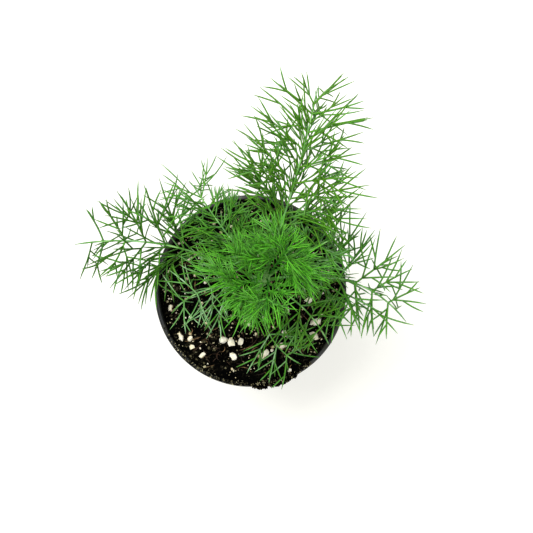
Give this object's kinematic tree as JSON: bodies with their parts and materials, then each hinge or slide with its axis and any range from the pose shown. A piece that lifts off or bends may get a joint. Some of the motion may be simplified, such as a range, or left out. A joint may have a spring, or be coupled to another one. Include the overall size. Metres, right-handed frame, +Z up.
{
  "type": "potted dill plant",
  "caption": "Young dill plant with feathery, thread-fine leaves on a short leaning stem, growing in potting mix with white perlite in a round black nursery pot.",
  "frame": {"origin": "centre of the pot's flat underside, on the surface that the pot stands on", "axes": "+Z up along the pot's axis; +Y towards the back, where the tallest leaf reaches over the rim; +X to the right"},
  "size_m": [0.1839, 0.1559, 0.1799],
  "materials": {
    "pot_plastic": "satin",
    "potting_mix": "matte",
    "dill_stem": "satin",
    "dill_leaf": "satin",
    "dill_young_leaf": "satin"
  },
  "bodies": {
    "root": {"pot": "pot_plastic", "soil": "potting_mix", "stem": "dill_stem", "leaf_front_low": "dill_leaf", "leaf_left": "dill_leaf", "leaf_right": "dill_leaf", "leaf_front_left": "dill_leaf", "leaf_front_right": "dill_leaf", "leaf_back_left": "dill_leaf", "leaf_back": "dill_leaf", "leaf_back_right": "dill_leaf", "leaf_young_left": "dill_young_leaf", "leaf_young_front": "dill_young_leaf", "leaf_young_back": "dill_young_leaf"}
  },
  "joints": []
}
